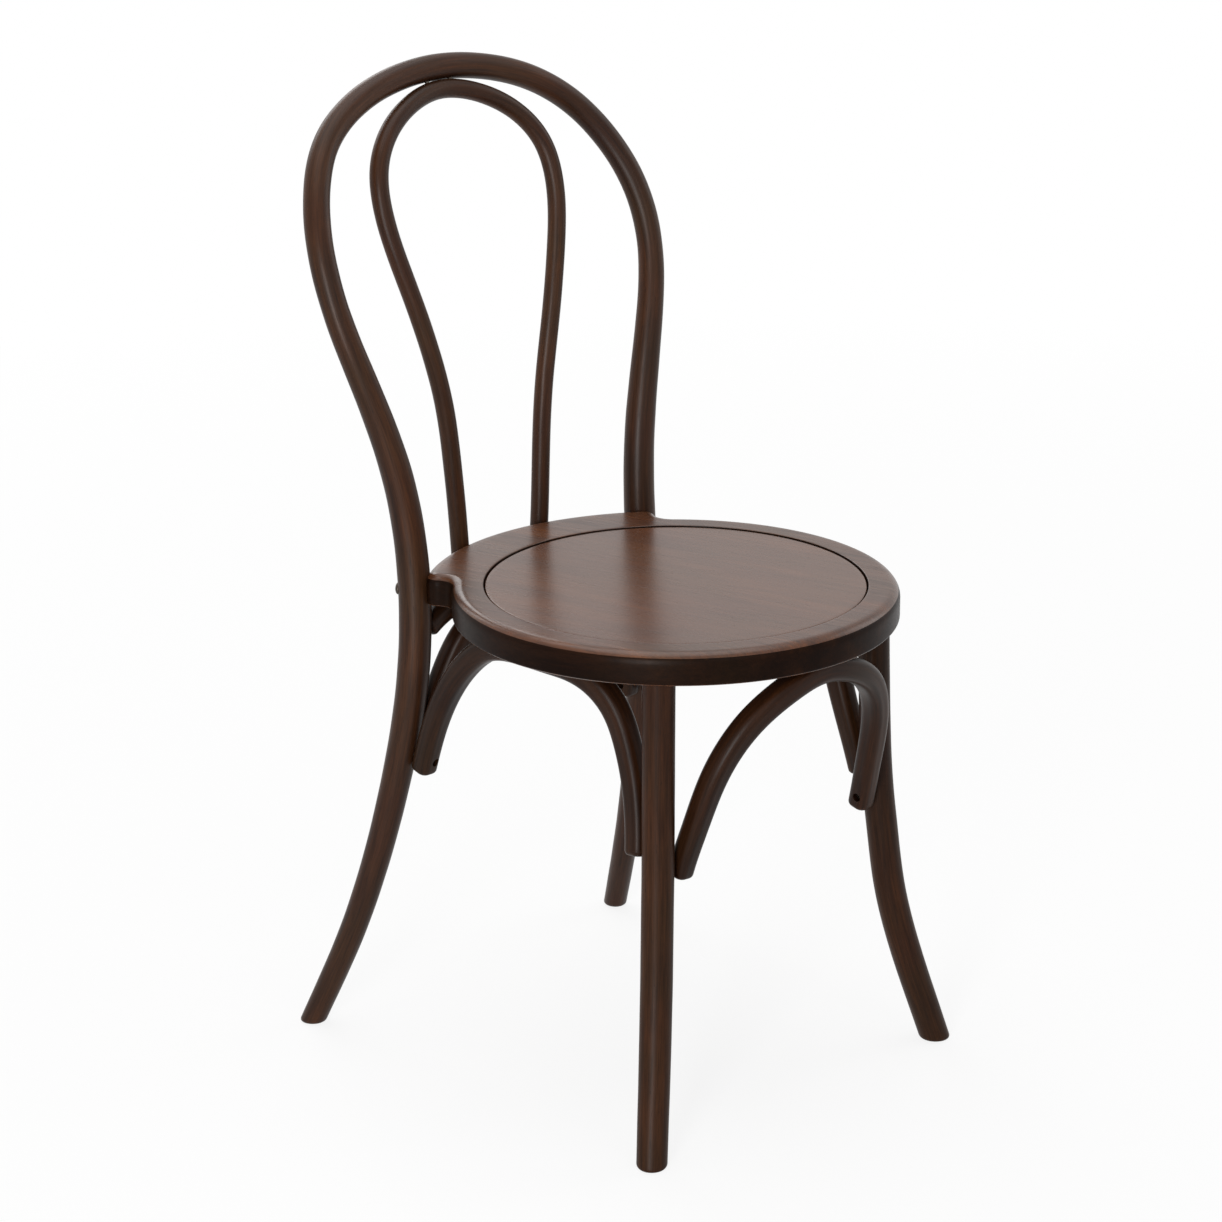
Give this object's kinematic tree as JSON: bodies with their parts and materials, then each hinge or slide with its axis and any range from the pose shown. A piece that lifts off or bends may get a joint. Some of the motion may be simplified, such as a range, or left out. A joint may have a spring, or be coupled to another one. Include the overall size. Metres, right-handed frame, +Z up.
{
  "type": "bentwood bistro chair",
  "caption": "Bentwood dining chair with a round wooden seat, double looped back, splayed legs and arched braces under the seat.",
  "frame": {"origin": "middle of the chair's footprint box, on the floor", "axes": "+Z up, -Y is the front that a sitter faces, +X to the right seen from the front"},
  "size_m": [0.4244, 0.5232, 0.8899],
  "materials": {
    "bent_rod": "satin lacquered dark walnut stain",
    "seat_wood": "satin lacquered dark walnut stain",
    "panel_wood": "satin lacquered dark walnut stain",
    "leg_wood": "satin lacquered dark walnut stain",
    "brace_wood": "satin lacquered dark walnut stain",
    "dark_steel": "dark bronzed steel",
    "zinc_steel": "zinc plated steel"
  },
  "bodies": {
    "root": {"back_frame": "bent_rod", "inner_hoop": "bent_rod", "seat_ring": "seat_wood", "seat_panel": "panel_wood", "front_leg_left": "leg_wood", "front_leg_right": "leg_wood", "front_brace": "brace_wood", "rear_brace": "brace_wood", "side_brace_left": "brace_wood", "side_brace_right": "brace_wood", "frame_bolts": "dark_steel", "frame_bolt_nuts": "zinc_steel", "brace_end_screws": "dark_steel", "brace_seat_screws": "dark_steel", "hoop_top_screws": "dark_steel", "hoop_foot_screws": "dark_steel"}
  },
  "joints": []
}
